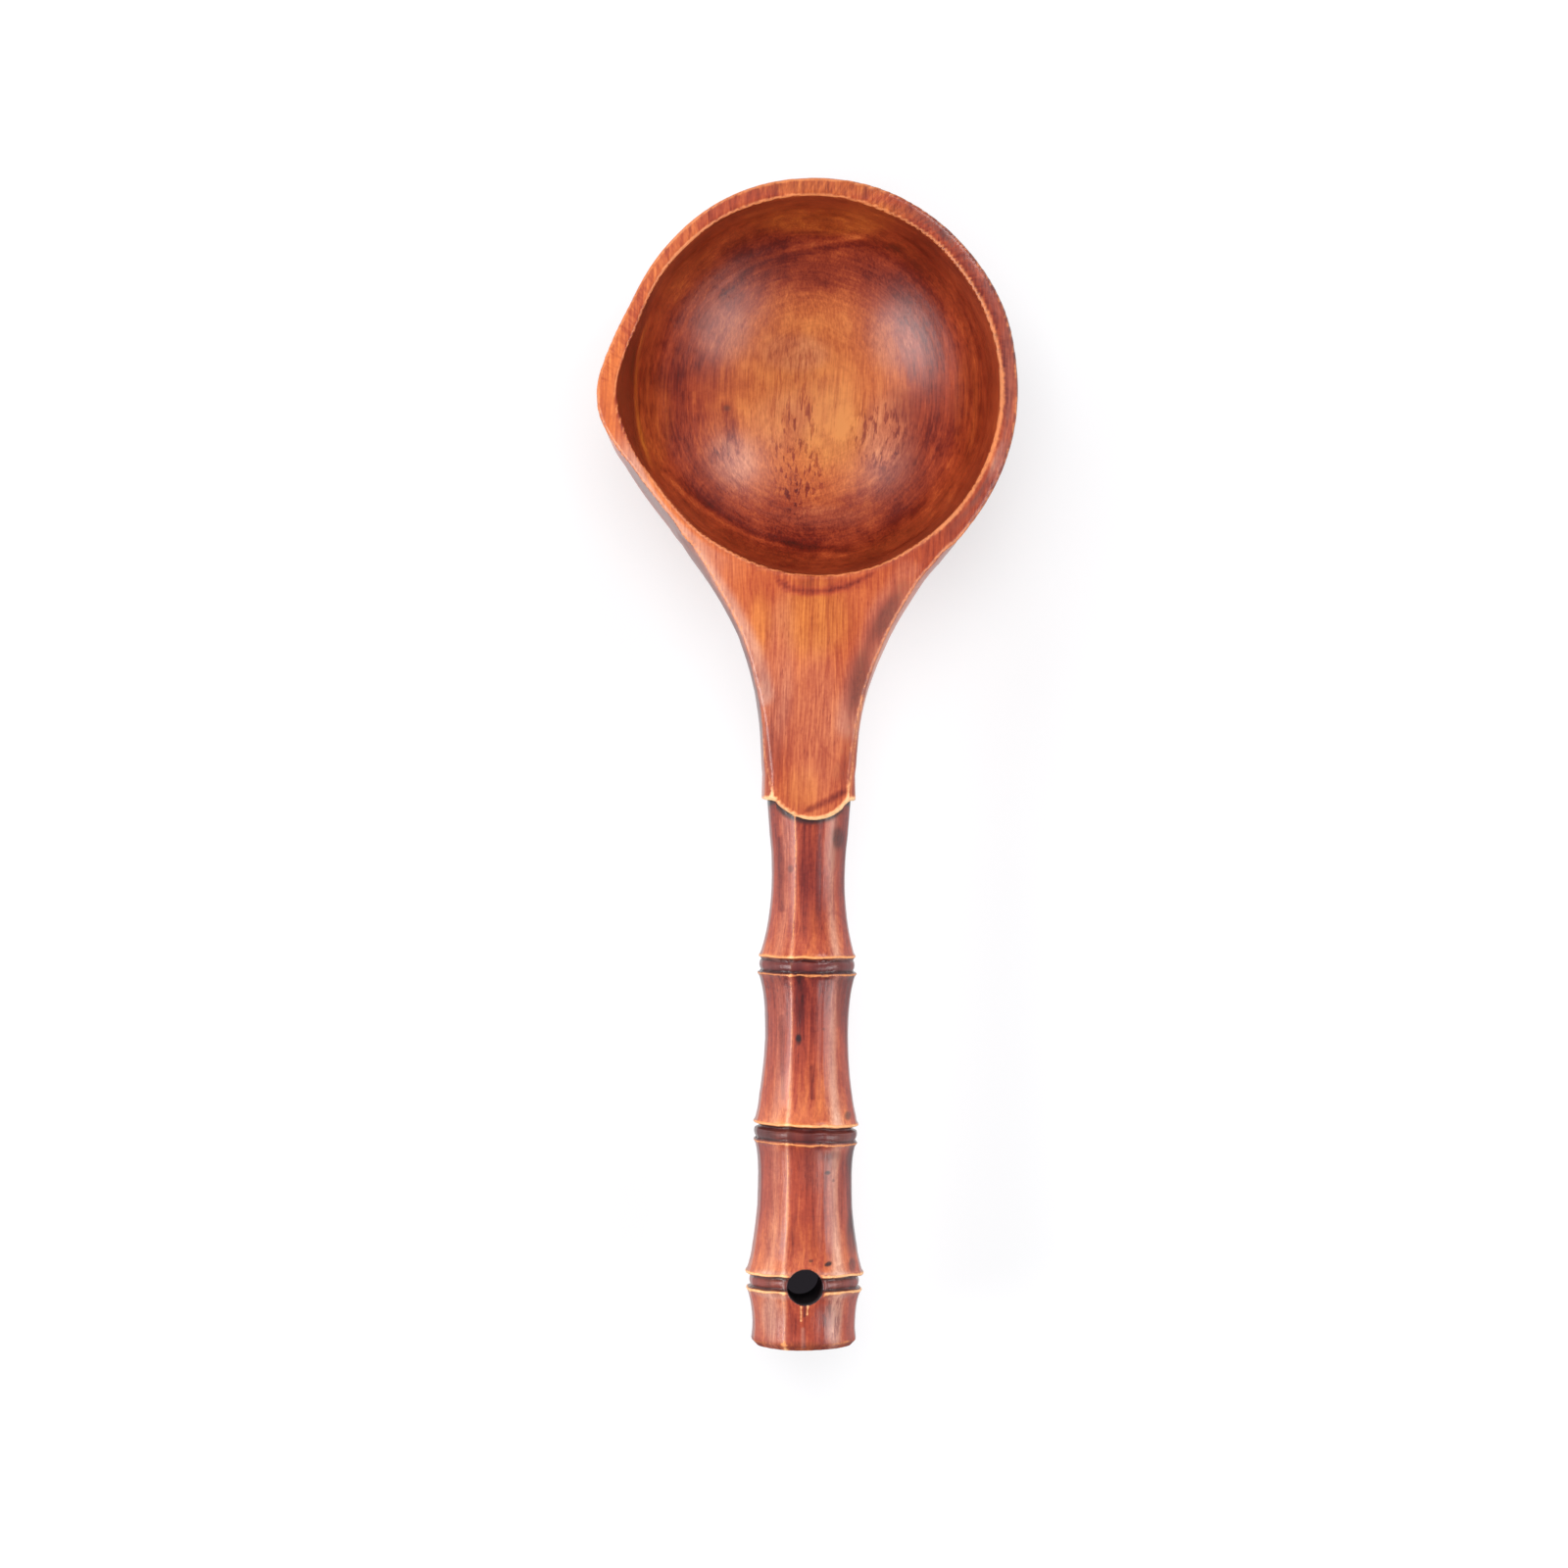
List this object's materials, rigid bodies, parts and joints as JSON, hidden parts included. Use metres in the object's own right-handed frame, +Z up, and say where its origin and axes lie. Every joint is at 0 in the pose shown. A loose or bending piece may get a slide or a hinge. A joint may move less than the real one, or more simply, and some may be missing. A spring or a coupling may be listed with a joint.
{
  "type": "water dipper",
  "caption": "Carved wooden water dipper: a round scoop with a pouring lip at its side, and a grip shaped like jointed bamboo with a hole to hang it by.",
  "frame": {"origin": "centre of the scoop's flat foot", "axes": "+Z up out of the scoop's mouth, -Y along the grip away from the scoop, -X towards the spout"},
  "size_m": [0.0904, 0.25, 0.0484],
  "materials": {
    "head_wood": "clear satin lacquer over orange-brown wood, worn pale on the edges",
    "grip_wood": "red-brown satin lacquer, dark in the grooves of the nodes and worn pale on their lips"
  },
  "bodies": {
    "root": {"bowl_head": "head_wood", "handle": "grip_wood"}
  },
  "joints": []
}
